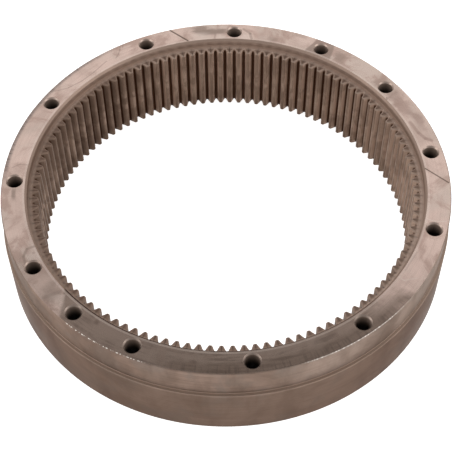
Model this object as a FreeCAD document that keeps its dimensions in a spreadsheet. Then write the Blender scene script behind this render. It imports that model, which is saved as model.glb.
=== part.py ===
# Internal ring gear: one forged steel ring, turned, drilled and gear-shaped on the inside
import FreeCAD
import Part
import Sketcher
import math
import os

# The frame has +Z along the gear axis and its origin at the centre of the bottom face.
# The seven bolt hole positions on the +Y side are mirrored about the X axis, and the hole
# that has no partner lies on +X.

# Driving dimensions in millimetres and degrees, one spreadsheet row each
DRIVING_SIZES = (
    ("tooth_count", 116, "teeth on the inside of the ring"),
    ("gear_module", 4.0, "pitch diameter over tooth count"),
    ("pressure_angle", 25.0, "flank slope at the pitch circle"),
    ("profile_shift", -0.3, "how far the tooth spaces lie further out than standard, in modules"),
    ("addendum_factor", 1.0, "tooth height inside the pitch circle, in modules"),
    ("dedendum_factor", 1.3, "tooth space depth outside the shifted pitch line, in modules"),
    ("space_overrun", 3.0, "how far the space cutter starts inside the tooth tips"),
    ("recess_clearance", 5.0, "tooth roots out to the wall of both turned recesses"),
    ("inner_land", 15.5, "recess wall out to the bolt circle"),
    ("outer_land", 15.5, "bolt circle out to the upper band, which locates the housing"),
    ("ledge_width", 3.0, "upper band out to the lower band"),
    ("ring_height", 115.0, "bottom face to top face"),
    ("band_edge", 1.6, "chamfer on the bottom outer edge"),
    ("pilot_height", 42.5, "top face down to the ledge"),
    ("pilot_edge", 1.0, "chamfer on the top outer edge"),
    ("relief_depth", 0.8, "relief groove at the foot of the upper band"),
    ("relief_width", 2.4, "height of that groove"),
    ("recess_edge", 2.5, "chamfer on the mouth of each recess"),
    ("top_recess_depth", 11.0, "top face down to the tooth ends"),
    ("bottom_recess_depth", 6.5, "bottom face up to the tooth ends"),
    ("bolt_hole_radius", 8.75, "clearance for a 16 mm bolt"),
    ("bolt_hole_edge", 1.75, "chamfer on both ends of each bolt hole"),
    ("first_pair_angle", 18.0, "bolt holes on both sides of the X axis"),
    ("second_pair_angle", 48.0, "the same"),
    ("third_pair_angle", 78.0, "the same"),
    ("fourth_pair_angle", 114.0, "the same"),
    ("fifth_pair_angle", 141.0, "the same"),
    ("sixth_pair_angle", 168.0, "the same"),
)

NODE = "ring_gear"
PAIR_ANGLES = tuple(name for name, _, _ in DRIVING_SIZES if name.endswith("_pair_angle"))


def size(name):
    """Expression that reads one cell of the size sheet."""
    return "Sizes." + name


def make_sheet(document):
    """Spreadsheet with one aliased row for each driving dimension."""
    sheet = document.addObject("Spreadsheet::Sheet", "Sizes")
    for row, (name, value, note) in enumerate(DRIVING_SIZES, start=1):
        sheet.set("A%d" % row, name)
        sheet.set("B%d" % row, str(value))
        sheet.setAlias("B%d" % row, name)
        sheet.set("C%d" % row, note)
    document.recompute()
    return sheet


def origin_feature(body, role):
    """Origin plane or axis of a body, found by its role."""
    return next(item for item in body.Origin.OriginFeatures if item.Role == role)


def new_sketch(body, name, plane_role):
    """Empty sketch on one of the body's own origin planes."""
    sketch = body.newObject("Sketcher::SketchObject", name)
    sketch.AttachmentSupport = [(origin_feature(body, plane_role), "")]
    sketch.MapMode = "FlatFace"
    return sketch


def value_of(document, expression):
    """Number that an expression has now, for the first guess of a sketch point."""
    result = document.getObject("Sizes").evalExpression(expression.replace("Sizes.", ""))
    return float(getattr(result, "Value", result))


def pin_point(sketch, geometry, end, across, along):
    """Bind one sketch point's two coordinates to expressions."""
    for kind, expression in (("DistanceX", across), ("DistanceY", along)):
        if expression is None:
            sketch.addConstraint(Sketcher.Constraint("PointOnObject", geometry, end, -1))
            continue
        number = value_of(sketch.Document, expression)
        index = sketch.addConstraint(Sketcher.Constraint(kind, -1, 1, geometry, end, number))
        sketch.setExpression("Constraints[%d]" % index, expression)


def closed_outline(sketch, corners):
    """Closed polyline whose corners are pairs of expressions; None puts a corner on the X axis."""
    points = []
    for across, along in corners:
        height = 0.0 if along is None else value_of(sketch.Document, along)
        points.append(FreeCAD.Vector(value_of(sketch.Document, across), height, 0))
    count = len(points)
    for index in range(count):
        sketch.addGeometry(Part.LineSegment(points[index], points[(index + 1) % count]), False)
    for index in range(count):
        following = (index + 1) % count
        sketch.addConstraint(Sketcher.Constraint("Coincident", index, 2, following, 1))
    for index, (across, along) in enumerate(corners):
        pin_point(sketch, index, 1, across, along)


def tip_radius():
    """Radius of the tooth tips, which is the bore before the teeth are cut."""
    return "{m} * ({z} / 2 - {a})".format(
        m=size("gear_module"), z=size("tooth_count"), a=size("addendum_factor"))


def root_radius():
    """Radius of the bottoms of the tooth spaces."""
    return "{m} * ({z} / 2 + {d} + {x})".format(
        m=size("gear_module"), z=size("tooth_count"), d=size("dedendum_factor"),
        x=size("profile_shift"))


def recess_radius():
    """Radius of the turned recesses above and below the teeth."""
    return "({} + {})".format(root_radius(), size("recess_clearance"))


def bolt_circle_radius():
    """Radius of the circle that carries every bolt hole."""
    return "({} + {})".format(recess_radius(), size("inner_land"))


def pilot_radius():
    """Radius of the upper outer band."""
    return "({} + {})".format(bolt_circle_radius(), size("outer_land"))


def band_radius():
    """Radius of the lower outer band."""
    return "({} + {})".format(pilot_radius(), size("ledge_width"))


def ring_section():
    """Corners of the turned ring's cross-section, from the bottom recess's mouth outward and back."""
    top = size("ring_height")
    ledge = "({} - {})".format(top, size("pilot_height"))
    relief_top = "{} + {}".format(ledge, size("relief_width"))
    relief_radius = "{} - {}".format(pilot_radius(), size("relief_depth"))
    mouth = "{} + {}".format(recess_radius(), size("recess_edge"))
    top_floor = "({} - {})".format(top, size("top_recess_depth"))
    bottom_floor = size("bottom_recess_depth")
    return (
        (mouth, None),
        ("{} - {}".format(band_radius(), size("band_edge")), None),
        (band_radius(), size("band_edge")),
        (band_radius(), ledge),
        (relief_radius, ledge),
        (relief_radius, relief_top),
        (pilot_radius(), relief_top),
        (pilot_radius(), "{} - {}".format(top, size("pilot_edge"))),
        ("{} - {}".format(pilot_radius(), size("pilot_edge")), top),
        (mouth, top),
        (recess_radius(), "{} - {}".format(top, size("recess_edge"))),
        (recess_radius(), top_floor),
        (tip_radius(), top_floor),
        (tip_radius(), bottom_floor),
        (recess_radius(), bottom_floor),
        (recess_radius(), size("recess_edge")),
    )


def turn_ring(body):
    """The ring as it leaves the lathe: bands, ledge, relief groove, recesses and bore."""
    sketch = new_sketch(body, "RingSection", "XZ_Plane")
    closed_outline(sketch, ring_section())
    turned = body.newObject("PartDesign::Revolution", "TurnedRing")
    turned.Profile = sketch
    turned.ReferenceAxis = (sketch, ["V_Axis"])
    turned.Angle = 360.0
    body.Document.recompute()
    return turned


def drill_bolt_holes(body):
    """Through holes on the bolt circle: one on the X axis and six mirrored pairs."""
    sketch = new_sketch(body, "BoltHoleCircles", "XY_Plane")
    centres = [(bolt_circle_radius(), None)]
    for name in PAIR_ANGLES:
        across = "{} * cos({} * 1deg)".format(bolt_circle_radius(), size(name))
        along = "{} * sin({} * 1deg)".format(bolt_circle_radius(), size(name))
        centres.append((across, along))
        centres.append((across, "-" + along))
    radius = value_of(body.Document, size("bolt_hole_radius"))
    for across, along in centres:
        height = 0.0 if along is None else value_of(body.Document, along)
        centre = FreeCAD.Vector(value_of(body.Document, across), height, 0)
        sketch.addGeometry(Part.Circle(centre, FreeCAD.Vector(0, 0, 1), radius), False)
    for index, (across, along) in enumerate(centres):
        pin_point(sketch, index, 3, across, along)
        if index > 0:
            sketch.addConstraint(Sketcher.Constraint("Equal", 0, index))
    bound = sketch.addConstraint(Sketcher.Constraint("Radius", 0, radius))
    sketch.setExpression("Constraints[%d]" % bound, size("bolt_hole_radius"))
    holes = body.newObject("PartDesign::Pocket", "BoltHoles")
    holes.Profile = sketch
    holes.Type = "Length"
    holes.Reversed = True
    holes.setExpression("Length", size("ring_height"))
    body.Document.recompute()
    return holes


def chamfer_bolt_holes(body, holes):
    """Countersunk chamfers on both ends of every bolt hole."""
    radius = value_of(body.Document, size("bolt_hole_radius"))
    rims = []
    for number, edge in enumerate(holes.Shape.Edges, start=1):
        curve = edge.Curve
        if isinstance(curve, Part.Circle) and math.isclose(curve.Radius, radius, rel_tol=1e-6):
            rims.append("Edge%d" % number)
    chamfers = body.newObject("PartDesign::Chamfer", "BoltHoleChamfers")
    chamfers.Base = (holes, rims)
    chamfers.setExpression("Size", size("bolt_hole_edge"))
    body.Document.recompute()
    return chamfers


def flank_point(radius):
    """Point of the involute flank at a radius, seen from the middle of its tooth space.

    The half angle of a space is a quarter of the pitch at the pitch circle, plus what the
    profile shift adds there, plus the involute function of the pressure angle, less that of the
    angle where the flank crosses the radius.
    """
    pressure = "({} * 1deg)".format(size("pressure_angle"))
    base = "({} * {} / 2 * cos({}))".format(size("gear_module"), size("tooth_count"), pressure)
    crossing = "acos({} / ({}))".format(base, radius)
    involute = "(tan({a}) * 180deg / pi - {a})"
    shifted = "(90deg + 2 * {} * tan({}) * 180deg / pi)".format(size("profile_shift"), pressure)
    half_angle = "({} / {} + {} - {})".format(
        shifted, size("tooth_count"), involute.format(a=pressure), involute.format(a=crossing))
    return "({}) * cos({})".format(radius, half_angle), "({}) * sin({})".format(radius, half_angle)


def guess(document, point):
    """First guess of a sketch point from its two expressions."""
    return FreeCAD.Vector(value_of(document, point[0]), value_of(document, point[1]), 0)


def space_sketch(body):
    """Outline of one tooth space, on the recess floor, half a pitch away from the X axis."""
    document = body.Document
    sketch = new_sketch(body, "ToothSpaceOutline", "XY_Plane")
    floor = "{} - {}".format(size("ring_height"), size("top_recess_depth"))
    sketch.setExpression(".AttachmentOffset.Base.z", floor)
    sketch.setExpression(".AttachmentOffset.Rotation.Angle", "180deg / " + size("tooth_count"))
    pitch_radius = "{} * {} / 2".format(size("gear_module"), size("tooth_count"))
    tip, middle, foot = (flank_point(item) for item in (tip_radius(), pitch_radius, root_radius()))
    inner_edge = "{} - {}".format(tip_radius(), size("space_overrun"))

    upper = [guess(document, point) for point in (tip, middle, foot)]
    lower = [FreeCAD.Vector(point.x, -point.y, 0) for point in upper]
    root = FreeCAD.Vector(value_of(document, root_radius()), 0, 0)
    inner = value_of(document, inner_edge)
    corner_up = FreeCAD.Vector(inner, upper[0].y, 0)
    corner_down = FreeCAD.Vector(inner, lower[0].y, 0)

    upper_flank = sketch.addGeometry(Part.Arc(*upper), False)
    root_land = sketch.addGeometry(Part.Arc(upper[2], root, lower[2]), False)
    lower_flank = sketch.addGeometry(Part.Arc(*lower), False)
    lower_side = sketch.addGeometry(Part.LineSegment(lower[0], corner_down), False)
    closing = sketch.addGeometry(Part.LineSegment(corner_down, corner_up), False)
    upper_side = sketch.addGeometry(Part.LineSegment(corner_up, upper[0]), False)

    bind_arc(sketch, upper_flank, upper, (tip, middle, foot))
    mirrored = [(across, "-(" + along + ")") for across, along in (tip, middle, foot)]
    bind_arc(sketch, lower_flank, lower, mirrored)
    bind_arc(sketch, root_land, (upper[2], root, lower[2]), (None, (root_radius(), None), None))
    join_points(sketch, upper_flank, root_land, upper[2])
    join_points(sketch, root_land, lower_flank, lower[2])
    join_points(sketch, lower_flank, lower_side, lower[0])
    join_points(sketch, lower_side, closing, corner_down)
    join_points(sketch, closing, upper_side, corner_up)
    join_points(sketch, upper_side, upper_flank, upper[0])
    sketch.addConstraint(Sketcher.Constraint("Horizontal", lower_side))
    sketch.addConstraint(Sketcher.Constraint("Horizontal", upper_side))
    pin_corner(sketch, closing, inner_edge)
    return sketch


def end_at(sketch, geometry, point):
    """Which end of an edge lies at a point: 1 for its start, 2 for its finish."""
    start = sketch.getPoint(geometry, 1)
    finish = sketch.getPoint(geometry, 2)
    return 1 if start.distanceToPoint(point) < finish.distanceToPoint(point) else 2


def join_points(sketch, first, second, point):
    """Make two edges share the end that both have at a point."""
    ends = (first, end_at(sketch, first, point), second, end_at(sketch, second, point))
    sketch.addConstraint(Sketcher.Constraint("Coincident", *ends))


def bind_arc(sketch, arc, points, expressions):
    """Bind an arc's ends, and a construction point that it passes through, to expressions."""
    for point, pair in ((points[0], expressions[0]), (points[2], expressions[2])):
        if pair is not None:
            pin_point(sketch, arc, end_at(sketch, arc, point), *pair)
    through = sketch.addGeometry(Part.Point(points[1]), True)
    pin_point(sketch, through, 1, *expressions[1])
    sketch.addConstraint(Sketcher.Constraint("PointOnObject", through, 1, arc))


def pin_corner(sketch, closing, across):
    """Bind the inner side of the space outline: upright, at a set distance from the axis."""
    sketch.addConstraint(Sketcher.Constraint("Vertical", closing))
    number = value_of(sketch.Document, across)
    index = sketch.addConstraint(Sketcher.Constraint("DistanceX", -1, 1, closing, 1, number))
    sketch.setExpression("Constraints[%d]" % index, across)


def cut_teeth(body):
    """One tooth space down to the lower recess, repeated round the axis."""
    sketch = space_sketch(body)
    space = body.newObject("PartDesign::Pocket", "ToothSpace")
    space.Profile = sketch
    space.Type = "Length"
    space.setExpression("Length", "{} - {} - {}".format(
        size("ring_height"), size("top_recess_depth"), size("bottom_recess_depth")))
    body.Document.recompute()
    teeth = body.newObject("PartDesign::PolarPattern", "Teeth")
    teeth.Originals = [space]
    teeth.Axis = (origin_feature(body, "Z_Axis"), [""])
    teeth.Angle = 360.0
    teeth.setExpression("Occurrences", size("tooth_count"))
    body.Tip = teeth
    body.Document.recompute()
    return space, teeth


def check_document(document, steps):
    """Stop if an object failed, a shape is not one valid solid, or a cut removed nothing."""
    for item in document.Objects:
        if {"Invalid", "Error"} & set(item.State):
            raise RuntimeError("%s failed: %s" % (item.Name, item.State))
    for before, after in zip(steps, steps[1:]):
        if not after.Shape.Volume < before.Shape.Volume:
            raise RuntimeError("%s removed nothing" % after.Name)
    shape = steps[-1].Shape
    if shape.isNull() or not shape.isValid() or len(shape.Solids) != 1:
        raise RuntimeError("the ring is not one valid solid")


def main():
    """Build the document, check it and write the ring's solid."""
    document = FreeCAD.newDocument("InternalRingGear")
    make_sheet(document)
    body = document.addObject("PartDesign::Body", "RingGear")
    body.Label = NODE
    body.Placement = FreeCAD.Placement()
    turned = turn_ring(body)
    holes = drill_bolt_holes(body)
    chamfers = chamfer_bolt_holes(body, holes)
    space, teeth = cut_teeth(body)
    check_document(document, (turned, holes, chamfers, space, teeth))
    os.makedirs("parts", exist_ok=True)
    body.Shape.exportStep("parts/%s.step" % body.Label)
    print("volume %.0f cubic mm" % body.Shape.Volume, "box", body.Shape.BoundBox)


main()
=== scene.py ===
"""Looks of the internal ring gear: a detailed steel ring, its finishes and a plain studio."""

import logging
import math
from dataclasses import dataclass, field
from enum import Enum, IntEnum
from functools import cached_property
from typing import Protocol

import bpy
import numpy as np
from mathutils import Matrix, Vector

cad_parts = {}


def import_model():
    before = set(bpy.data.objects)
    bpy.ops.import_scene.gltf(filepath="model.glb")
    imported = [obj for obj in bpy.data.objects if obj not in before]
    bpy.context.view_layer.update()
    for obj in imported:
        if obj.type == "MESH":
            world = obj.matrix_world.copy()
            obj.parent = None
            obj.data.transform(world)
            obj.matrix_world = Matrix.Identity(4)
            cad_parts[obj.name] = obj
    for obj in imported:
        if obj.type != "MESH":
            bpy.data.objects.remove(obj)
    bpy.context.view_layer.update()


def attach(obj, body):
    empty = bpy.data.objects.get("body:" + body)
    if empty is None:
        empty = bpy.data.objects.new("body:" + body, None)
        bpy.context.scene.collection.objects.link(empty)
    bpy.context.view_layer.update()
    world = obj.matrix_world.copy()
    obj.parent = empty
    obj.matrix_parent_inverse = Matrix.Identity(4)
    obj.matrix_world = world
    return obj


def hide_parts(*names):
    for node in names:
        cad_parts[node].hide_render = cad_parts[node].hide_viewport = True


LOG = logging.getLogger("ring_gear_scene")
MILLIMETRE = 0.001
FULL_TURN = 2.0 * math.pi
NODE = "ring_gear"
# Heights in metres between which the marks of the top face come in
TOP_REACH = (0.1, 0.11)
# Outline points closer than this, in millimetres, are one
ONE_POINT = 1e-6
Colour = tuple[float, float, float]
Value = bpy.types.NodeSocket | float | Colour | None
Parts = bpy.types.bpy_prop_collection | list | tuple


class Zone(IntEnum):
    """Finishes of the ring, in the order of the piece's material slots."""

    FACE = 0
    BAND = 1
    BORE = 2
    HOLE = 3
    RECESS = 4


def add_object(name: str, data: bpy.types.ID) -> bpy.types.Object:
    """Make an object of some data.

    Args:
        name: The object's name.
        data: Its mesh, camera or light.

    Returns:
        The object, linked to the scene.
    """
    made = bpy.data.objects.new(name, data)
    bpy.context.scene.collection.objects.link(made)
    return made


class Solid:
    """Points and faces of one closed piece, gathered as whole arrays."""

    def __init__(self) -> None:
        """Start with no point and no face."""
        self.points: list[np.ndarray] = []
        self.faces: list[tuple[np.ndarray, Zone]] = []
        self.count = 0

    def add_points(self, points: np.ndarray) -> np.ndarray:
        """Add points and number them.

        Args:
            points: Coordinates in millimetres, with x, y and z on the last axis.

        Returns:
            The new points' numbers, in the shape of the other axes.
        """
        shape = points.shape[:-1]
        numbers = self.count + np.arange(int(np.prod(shape))).reshape(shape)
        self.points.append(points.reshape(-1, 3))
        self.count += numbers.size
        return numbers

    def add_faces(self, corners: tuple[np.ndarray, ...], zone: Zone) -> None:
        """Add one face for each set of corners.

        Args:
            corners: Three or four arrays of point numbers, in order round each face.
            zone: The finish that the faces take.
        """
        stack = np.stack([np.asarray(corner).ravel() for corner in corners], axis=1)
        self.faces.append((stack, zone))

    def join_loops(self, first: np.ndarray, second: np.ndarray, zone: Zone) -> None:
        """Join two closed loops of equally many points by a belt of quads.

        The loops run anticlockwise seen from the side that the travel from first to second
        keeps on its left, so that the faces point out of the metal.

        Args:
            first: Point numbers of the loop that the travel leaves; the last axis runs round it.
            second: Point numbers of the loop that it reaches.
            zone: The finish of the belt.
        """
        corners = (first, np.roll(first, -1, -1), np.roll(second, -1, -1), second)
        self.add_faces(corners, zone)

    def zip_loops(self, first: np.ndarray, second: np.ndarray, zone: Zone) -> None:
        """Join two closed loops of different counts by a belt of triangles.

        Each edge of a loop gets one triangle, whose third corner is the other loop's point that
        was reached last when both loops are walked round together by angle.

        Args:
            first: Point numbers of the loop that the travel leaves, by rising angle from zero.
            second: Point numbers of the loop that it reaches, the same way.
            zone: The finish of the belt.
        """
        points = np.concatenate(self.points)
        ends = []
        for loop in (first, second):
            angle = np.arctan2(points[loop, 1], points[loop, 0]) % FULL_TURN
            angle[0] = 0.0
            ends.append(np.append(angle[1:], FULL_TURN))
        reached_second = np.searchsorted(ends[1], ends[0], side="left") % len(second)
        reached_first = np.searchsorted(ends[0], ends[1], side="right") % len(first)
        self.add_faces((first, np.roll(first, -1), second[reached_second]), zone)
        self.add_faces((np.roll(second, -1), second, first[reached_first]), zone)

    def build(self, name: str, sharp_angle: float) -> bpy.types.Object:
        """Make the piece's mesh and object.

        Args:
            name: The piece's name.
            sharp_angle: Faces that meet at more than this angle, in degrees, keep a sharp edge.

        Returns:
            The object, at the origin, linked to the scene.
        """
        points = np.concatenate(self.points)
        used = np.unique(np.concatenate([stack.ravel() for stack, _ in self.faces]))
        renumbered = np.zeros(len(points), dtype=np.int64)
        renumbered[used] = np.arange(len(used))
        faces: list[list[int]] = []
        zones: list[np.ndarray] = []
        for stack, zone in self.faces:
            faces.extend(renumbered[stack].tolist())
            zones.append(np.full(len(stack), int(zone), dtype=np.int32))
        mesh = bpy.data.meshes.new(name)
        mesh.from_pydata((points[used] * MILLIMETRE).tolist(), [], faces)
        mesh.polygons.foreach_set("material_index", np.concatenate(zones))
        mesh.polygons.foreach_set("use_smooth", np.ones(len(faces), dtype=bool))
        mesh.update()
        mesh.set_sharp_from_angle(angle=math.radians(sharp_angle))
        return add_object(name, mesh)


def bend(start: np.ndarray, corner: np.ndarray, end: np.ndarray, steps: int) -> np.ndarray:
    """Points of quadratic curves that leave their starts towards a corner and reach their ends.

    The point at t is (1-t)^2 of the start, plus 2t(1-t) of the corner, plus t^2 of the end.

    Args:
        start: First point of each curve, with its two coordinates on the last axis.
        corner: The point that it bends towards.
        end: Its last point.
        steps: Points along each curve.

    Returns:
        The points, with the steps on the last axis but one.
    """
    t = np.linspace(0.0, 1.0, steps)[:, None]
    start, corner, end = (np.expand_dims(point, -2) for point in (start, corner, end))
    return (1 - t) ** 2 * start + 2 * t * (1 - t) * corner + t**2 * end


def soft_corners(corners: np.ndarray, steps: int = 4) -> np.ndarray:
    """Round an open outline's corners by curves that start and end on each corner's two sides.

    A curve's start and end are the corner plus its reach along the side behind and the side ahead.

    Args:
        corners: Rows of radius, height and reach, which is how far the rounding goes along both
            sides; zero keeps the corner sharp.
        steps: Points along each rounded corner.

    Returns:
        The rounded outline's points, with none twice.
    """
    points, reach = corners[:, :2], corners[:, 2:]
    ahead = np.roll(points, -1, 0) - points
    ahead[-1] = points[-1] - points[-2]
    behind = np.roll(points, 1, 0) - points
    behind[0] = points[0] - points[1]
    start = points + reach * behind / np.linalg.norm(behind, axis=1, keepdims=True)
    end = points + reach * ahead / np.linalg.norm(ahead, axis=1, keepdims=True)
    curve = bend(start, points, end, steps).reshape(-1, 2)
    apart = np.linalg.norm(np.diff(curve, axis=0), axis=1) > ONE_POINT
    return curve[np.append(True, apart)]


@dataclass(frozen=True)
class Teeth:
    """Involute teeth on the inside of the ring, in millimetres and degrees."""

    count: int = 116
    module: float = 4.0
    pressure_angle: float = 25.0
    profile_shift: float = -0.3
    tip_radius: float = 228.0
    root_radius: float = 236.0
    # How far the roundings at root and tip reach along the flank
    root_blend: float = 0.8
    tip_blend: float = 1.25
    # Share of the root's half width that its rounding takes up
    root_share: float = 0.8
    tip_steps: int = 4
    flank_steps: int = 8
    root_steps: int = 5

    def half_angle(self, radius: np.ndarray, shrink: float) -> np.ndarray:
        """Half the angle that a tooth takes at a radius.

        A tooth's half angle is a quarter pitch at the pitch circle, less what the profile shift
        takes there. Elsewhere it differs by the involute function, which is the tangent of an
        angle less the angle. A curve parallel to an involute is the same involute, turned by the
        distance over the base radius.

        Args:
            radius: Distances from the gear axis.
            shrink: How far the flank lies inside the metal.

        Returns:
            Half angles in radians.
        """
        pressure = math.radians(self.pressure_angle)
        base_radius = self.module * self.count / 2 * math.cos(pressure)
        crossing = np.arccos(base_radius / radius)
        quarter = (math.pi / 2 - 2 * self.profile_shift * math.tan(pressure)) / self.count
        involute = math.tan(pressure) - pressure
        return quarter - involute + np.tan(crossing) - crossing - shrink / base_radius

    def outline(self, shrink: float) -> np.ndarray:
        """Closed outline of all teeth, anticlockwise, from the middle of the tooth on +X.

        Half a tooth runs from the middle of its tip, round the tip's edge, down the flank, round
        the root's corner and to the middle of the root. Its mirror image completes the pitch.

        Args:
            shrink: How far the outline lies inside the metal.

        Returns:
            Points in the plane, one row each.
        """
        tip, root = self.tip_radius + shrink, self.root_radius + shrink
        tip_angle, root_angle = self.half_angle(np.array([tip, root]), shrink)
        radius = np.linspace(tip + self.tip_blend, root - self.root_blend, self.flank_steps)
        flank = np.column_stack([radius, self.half_angle(radius, shrink)])
        half_pitch = math.pi / self.count
        on_tip = np.array([tip, tip_angle - self.tip_blend / tip])
        on_root = np.array([root, root_angle + (half_pitch - root_angle) * self.root_share])
        tip_edge = bend(on_tip, np.array([tip, tip_angle]), flank[0], self.tip_steps)
        root_edge = bend(flank[-1], np.array([root, root_angle]), on_root, self.root_steps)
        half = np.vstack([[tip, 0.0], tip_edge, flank[1:-1], root_edge, [root, half_pitch]])
        mirrored = half[-2:0:-1] * (1.0, -1.0) + (0.0, 2 * half_pitch)
        radius, angle = np.vstack([half, mirrored]).T
        turns = 2 * half_pitch * np.arange(self.count)[:, None] + angle
        return np.stack([radius * np.cos(turns), radius * np.sin(turns)], -1).reshape(-1, 2)


@dataclass(frozen=True)
class BoltHoles:
    """Through holes on the bolt circle, in millimetres and degrees."""

    circle_radius: float = 256.5
    radius: float = 8.75
    edge: float = 1.75
    soft: float = 0.35
    # Columns of the face's grid on each side of a hole that make way for it
    half_span: int = 4
    # Places of the belts round a hole, as shares of the way from its rim to the grid
    belt_shares: tuple[float, ...] = (0.0, 0.12, 0.45)
    pair_angles: tuple[float, ...] = (18.0, 48.0, 78.0, 114.0, 141.0, 168.0)

    def angles(self) -> np.ndarray:
        """Angles of all holes: the one on +X, then both of each pair."""
        pairs = np.array(self.pair_angles)
        return np.concatenate([[0.0], pairs, 360.0 - pairs])


@dataclass(frozen=True)
class RingGear:
    """The forged ring: turned outside, drilled faces and toothed bore, in millimetres."""

    teeth: Teeth = field(default_factory=Teeth)
    holes: BoltHoles = field(default_factory=BoltHoles)
    columns: int = 480
    height: float = 115.0
    band_radius: float = 275.0
    band_edge: float = 1.6
    pilot_radius: float = 272.0
    pilot_height: float = 42.5
    pilot_edge: float = 1.0
    relief_depth: float = 0.8
    relief_width: float = 2.4
    recess_radius: float = 241.0
    recess_edge: float = 2.5
    top_floor: float = 104.0
    bottom_floor: float = 6.5
    top_tooth_edge: float = 1.4
    bottom_tooth_edge: float = 0.75
    # Radius on the recess floors at which the teeth's ends meet the turned part
    floor_line: float = 238.6
    face_rows: int = 8
    # How far the rounding of each kind of corner reaches along its sides
    edge_soft: float = 0.4
    ledge_soft: float = 0.5
    relief_soft: float = 0.3
    pilot_soft: float = 0.35
    sharp_angle: float = 34.0

    def loops(self, outline: np.ndarray) -> np.ndarray:
        """Turn an outline round the axis.

        Args:
            outline: Rows of radius and height.

        Returns:
            Points with one closed loop for each row of the outline.
        """
        angle = np.linspace(0.0, FULL_TURN, self.columns, endpoint=False)[None, :]
        radius, height = outline[:, 0:1], outline[:, 1:2]
        flat = np.broadcast_to(height, (len(outline), self.columns))
        return np.stack([radius * np.cos(angle), radius * np.sin(angle), flat], -1)

    def outside(self, solid: Solid) -> np.ndarray:
        """Add the outer wall, from the bottom face's edge up to the top face's edge.

        Args:
            solid: The piece being gathered.

        Returns:
            Numbers of the wall's loops, one row each, upwards.
        """
        band, pilot, top = self.band_radius, self.pilot_radius, self.height
        groove = pilot - self.relief_depth
        ledge = top - self.pilot_height
        relief_top = ledge + self.relief_width
        corners = np.array(
            [
                [band - self.band_edge, 0.0, 0.0],
                [band, self.band_edge, self.edge_soft],
                [band, ledge, self.ledge_soft],
                [groove, ledge, self.relief_soft],
                [groove, relief_top, self.relief_soft],
                [pilot, relief_top, self.pilot_soft],
                [pilot, top - self.pilot_edge, self.pilot_soft],
                [pilot - self.pilot_edge, top, 0.0],
            ]
        )
        rows = solid.add_points(self.loops(soft_corners(corners)))
        solid.join_loops(rows[:-1], rows[1:], Zone.BAND)
        return rows

    def recess(self, solid: Solid, upper: bool) -> np.ndarray:
        """Add one turned recess's wall, with the chamfer at its mouth.

        Args:
            solid: The piece being gathered.
            upper: Whether it is the one above the teeth.

        Returns:
            Numbers of the wall's loops, from the face's edge to the floor's edge.
        """
        radius, edge = self.recess_radius, self.recess_edge
        face, floor = (self.height, self.top_floor) if upper else (0.0, self.bottom_floor)
        under_edge = face - edge if upper else face + edge
        corners = np.array(
            [[radius + edge, face, 0.0], [radius, under_edge, self.edge_soft], [radius, floor, 0.0]]
        )
        rows = solid.add_points(self.loops(soft_corners(corners)))
        first, second = (rows[:-1], rows[1:]) if upper else (rows[1:], rows[:-1])
        solid.join_loops(first, second, Zone.RECESS)
        return rows

    def drilled_face(
        self, solid: Solid, inner: np.ndarray, outer: np.ndarray, upper: bool
    ) -> np.ndarray:
        """Add one flat face, with a ring of points left open for each bolt hole.

        The face is a grid of rings and columns. Round each hole a square patch of the grid gives
        way to belts that blend from the patch's border to the hole's circle.

        Args:
            solid: The piece being gathered.
            inner: Numbers of the face's inner loop.
            outer: Numbers of its outer loop.
            upper: Whether it is the top face.

        Returns:
            Numbers of the points on each hole's rim, one row for each hole.
        """
        height = self.height if upper else 0.0
        low = self.recess_radius + self.recess_edge
        edge = self.pilot_radius - self.pilot_edge if upper else self.band_radius - self.band_edge
        rows, span = self.face_rows, self.holes.half_span
        radii = np.linspace(low, edge, rows + 1)[1:-1]
        middle = solid.add_points(self.loops(np.stack([radii, np.full_like(radii, height)], -1)))
        grid = np.concatenate([inner[None], middle, outer[None]])

        centre = np.rint(self.holes.angles() * self.columns / 360.0).astype(int)[:, None]
        open_cells = (centre + np.arange(-span, span)) % self.columns
        kept = np.setdiff1d(np.arange(self.columns), open_cells.ravel())
        after = (kept + 1) % self.columns
        cells = (grid[:-1, kept], grid[1:, kept], grid[1:, after], grid[:-1, after])
        solid.add_faces(cells if upper else cells[::-1], Zone.FACE)

        # The patch's border, walked round from the middle of its outer side
        across = (np.arange(span), np.full(rows, span), np.arange(span, -span, -1), np.full(rows, -span))
        column = np.concatenate([*across, np.arange(-span, 0)])
        inward = (np.full(span, rows), np.arange(rows, 0, -1), np.zeros(2 * span, int), np.arange(rows))
        row = np.concatenate([*inward, np.full(span, rows)])
        border = grid[row, (centre + column) % self.columns]
        border_points = np.concatenate(solid.points)[border]
        rim_points = self.hole_circle(border.shape[1], self.holes.radius + self.holes.edge, height)
        shares = np.reshape(self.holes.belt_shares, (-1, 1, 1, 1))
        belts = solid.add_points((1 - shares) * rim_points + shares * border_points)
        belts = np.concatenate([belts, border[None]])
        ahead = np.roll(belts, -1, -1)
        quads = (belts[:-1], belts[1:], ahead[1:], ahead[:-1])
        solid.add_faces(quads if upper else quads[::-1], Zone.FACE)
        return belts[0]

    def hole_circle(self, count: int, radius: float, height: float) -> np.ndarray:
        """Points on a circle round each bolt hole's axis.

        Args:
            count: Points on each circle.
            radius: The circles' radius.
            height: Their height.

        Returns:
            Points, one row for each hole, anticlockwise from the outward side.
        """
        turn = np.radians(self.holes.angles())[:, None]
        around = turn + np.linspace(0.0, FULL_TURN, count, endpoint=False)
        across = self.holes.circle_radius * np.cos(turn) + radius * np.cos(around)
        along = self.holes.circle_radius * np.sin(turn) + radius * np.sin(around)
        return np.stack([across, along, np.full_like(across, height)], -1)

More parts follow.
